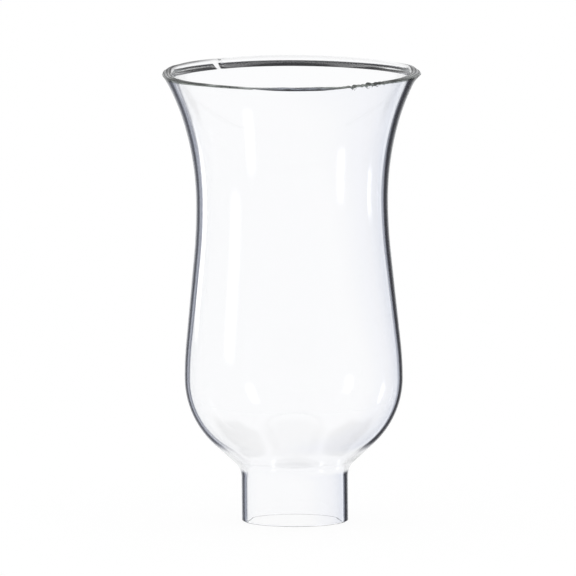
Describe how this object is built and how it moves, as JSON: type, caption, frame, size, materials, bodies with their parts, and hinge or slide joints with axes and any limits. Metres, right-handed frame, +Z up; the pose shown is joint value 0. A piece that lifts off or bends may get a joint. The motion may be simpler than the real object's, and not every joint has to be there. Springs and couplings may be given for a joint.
{
  "type": "hurricane shade",
  "caption": "Clear blown-glass hurricane shade with a flared mouth, round lip, waist, full bulb and a straight neck that stands in a holder.",
  "frame": {"origin": "on the axis of the shade at the foot of the neck, where it stands", "axes": "+Z up along the axis, from the neck to the flared mouth; the shade is round, so X and Y are free"},
  "size_m": [0.0998, 0.0998, 0.176],
  "materials": {
    "clear_glass": "gloss"
  },
  "bodies": {
    "root": {"glass_shade": "clear_glass"}
  },
  "joints": []
}
